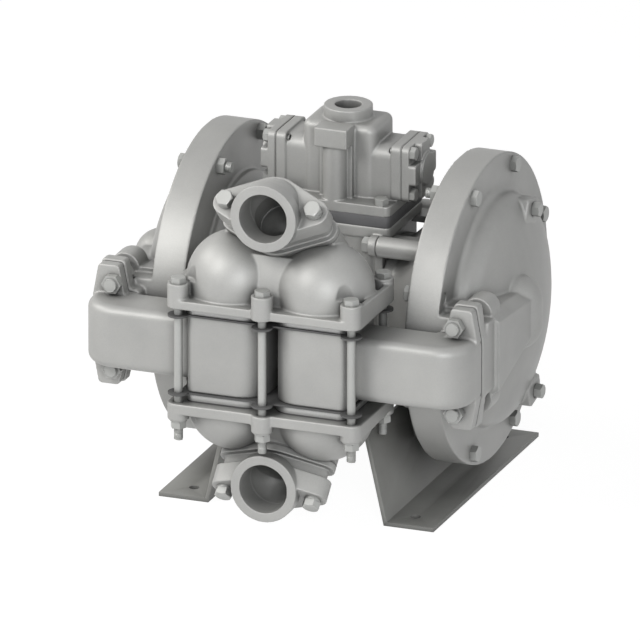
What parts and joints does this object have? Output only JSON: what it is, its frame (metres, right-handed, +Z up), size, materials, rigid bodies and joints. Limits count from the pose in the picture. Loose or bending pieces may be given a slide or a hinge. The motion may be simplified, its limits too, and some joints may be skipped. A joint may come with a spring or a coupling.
{
  "type": "air operated double diaphragm pump",
  "caption": "Metal air operated double diaphragm pump with ball check valves, threaded side ports, a top air valve and two bent feet.",
  "frame": {"origin": "on the floor plane, at the centre of the rectangle of foot holes", "axes": "+Z up, +X along the diaphragm rod towards the right chamber, the fluid ports face -Y"},
  "size_m": [0.409, 0.3881, 0.3647],
  "materials": {
    "casting": "blasted",
    "zinc_plate": "plated",
    "steel": "ground",
    "painted_sheet": "satin",
    "gasket": "matt",
    "diaphragm_rubber": "matt",
    "seal_plastic": "matt",
    "spacer": "matt"
  },
  "bodies": {
    "pump": {"air_valve_body": "casting", "air_valve_screws": "zinc_plate", "chamber_bolts": "zinc_plate", "chamber_nuts": "zinc_plate", "discharge_manifold": "casting", "discharge_port_elbow": "casting", "elbow_bolts": "zinc_plate", "elbow_gaskets": "gasket", "elbow_nuts": "zinc_plate", "end_cap_gaskets": "gasket", "end_cap_screws": "zinc_plate", "foot_bolts": "zinc_plate", "frame_screws": "zinc_plate", "intermediate_housing": "casting", "left_diaphragm": "diaphragm_rubber", "left_discharge_seat": "steel", "left_end_cap": "casting", "left_flow_elbow": "casting", "left_foot": "painted_sheet", "left_inner_chamber": "casting", "left_outer_chamber": "casting", "left_suction_seat": "steel", "lower_chest_gasket": "gasket", "lower_seat_gaskets": "gasket", "pilot_sleeve": "steel", "pipe_plugs": "zinc_plate", "port_bolts": "zinc_plate", "port_gaskets": "gasket", "port_lock_washers": "zinc_plate", "right_diaphragm": "diaphragm_rubber", "right_discharge_seat": "steel", "right_end_cap": "casting", "right_flow_elbow": "casting", "right_foot": "painted_sheet", "right_inner_chamber": "casting", "right_outer_chamber": "casting", "right_suction_seat": "steel", "rod_bushings": "seal_plastic", "rod_seals": "seal_plastic", "suction_manifold": "casting", "suction_port_elbow": "casting", "tie_bolts": "zinc_plate", "tie_nuts": "zinc_plate", "tie_washers": "zinc_plate", "upper_chest_gasket": "gasket", "upper_seat_gaskets": "gasket", "valve_sleeve": "steel", "valve_spacer": "spacer"},
    "rod": {"diaphragm_rod": "steel", "left_inner_plate": "casting", "left_outer_plate": "casting", "right_inner_plate": "casting", "right_outer_plate": "casting"},
    "pilot": {"pilot_spool": "steel"},
    "spool": {"valve_spool": "steel"},
    "left_discharge": {"left_discharge_ball": "diaphragm_rubber"},
    "right_discharge": {"right_discharge_ball": "diaphragm_rubber"},
    "left_suction": {"left_suction_ball": "diaphragm_rubber"},
    "right_suction": {"right_suction_ball": "diaphragm_rubber"}
  },
  "joints": [
    {"name": "rod_slide", "type": "slide", "parent": "pump", "child": "rod", "axis": [1, 0, 0], "range_m": [-0.012, 0.012], "deforming": ["right_diaphragm", "left_diaphragm"]},
    {"name": "pilot_slide", "type": "slide", "parent": "pump", "child": "pilot", "axis": [1, 0, 0], "range_m": [-0.004, 0.004]},
    {"name": "spool_slide", "type": "slide", "parent": "pump", "child": "spool", "axis": [1, 0, 0], "range_m": [-0.008, 0.008]},
    {"name": "left_discharge_lift", "type": "slide", "parent": "pump", "child": "left_discharge", "axis": [0, 0, 1], "range_m": [0, 0.012]},
    {"name": "right_discharge_lift", "type": "slide", "parent": "pump", "child": "right_discharge", "axis": [0, 0, 1], "range_m": [0, 0.012]},
    {"name": "left_suction_lift", "type": "slide", "parent": "pump", "child": "left_suction", "axis": [0, 0, 1], "range_m": [0, 0.012]},
    {"name": "right_suction_lift", "type": "slide", "parent": "pump", "child": "right_suction", "axis": [0, 0, 1], "range_m": [0, 0.012]}
  ],
  "couplings": [
    {"joint": "pilot_slide", "follows": "rod_slide", "ratio": 0.33333}
  ]
}
